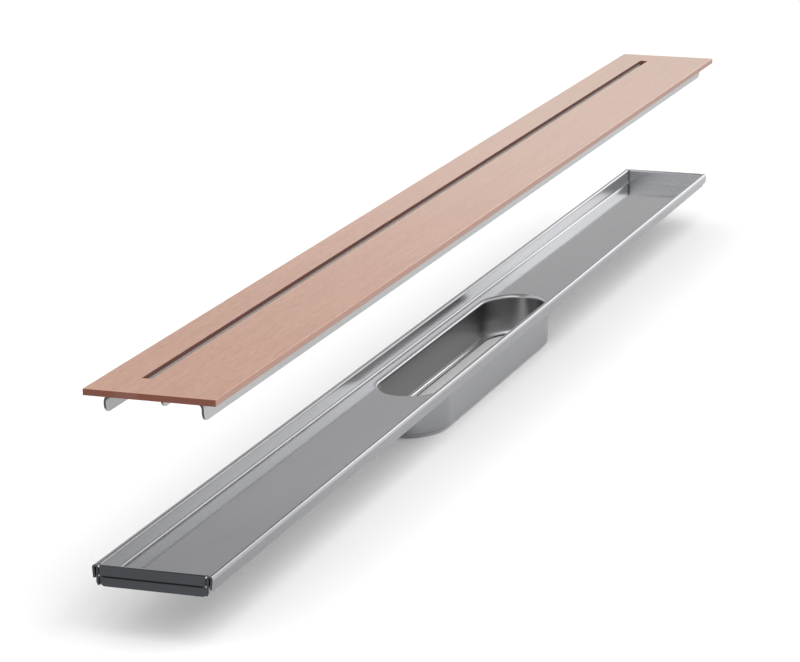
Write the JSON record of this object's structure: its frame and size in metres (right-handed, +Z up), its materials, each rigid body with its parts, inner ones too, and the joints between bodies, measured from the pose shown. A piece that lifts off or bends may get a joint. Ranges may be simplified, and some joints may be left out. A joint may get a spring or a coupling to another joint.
{
  "type": "linear shower drain",
  "caption": "Linear shower drain: folded steel tray with rolled rims and an oblong drain cup, its slotted copper-coloured cover lifted off above it.",
  "frame": {"origin": "under the middle of the drain cup, on the surface that the drain stands on", "axes": "+X along the drain, +Y across it towards the side of the cover that holds the slot, +Z up"},
  "size_m": [0.9, 0.06, 0.1093],
  "materials": {
    "copper_finish": "brushed, copper-coloured coat",
    "steel": "satin, bright on the bends"
  },
  "bodies": {
    "root": {"cover_plate": "copper_finish", "cover_carrier": "steel", "centre_rib": "steel", "tray_channel": "steel", "end_wall_near": "steel", "end_wall_far": "steel", "drain_cup": "steel"}
  },
  "joints": []
}
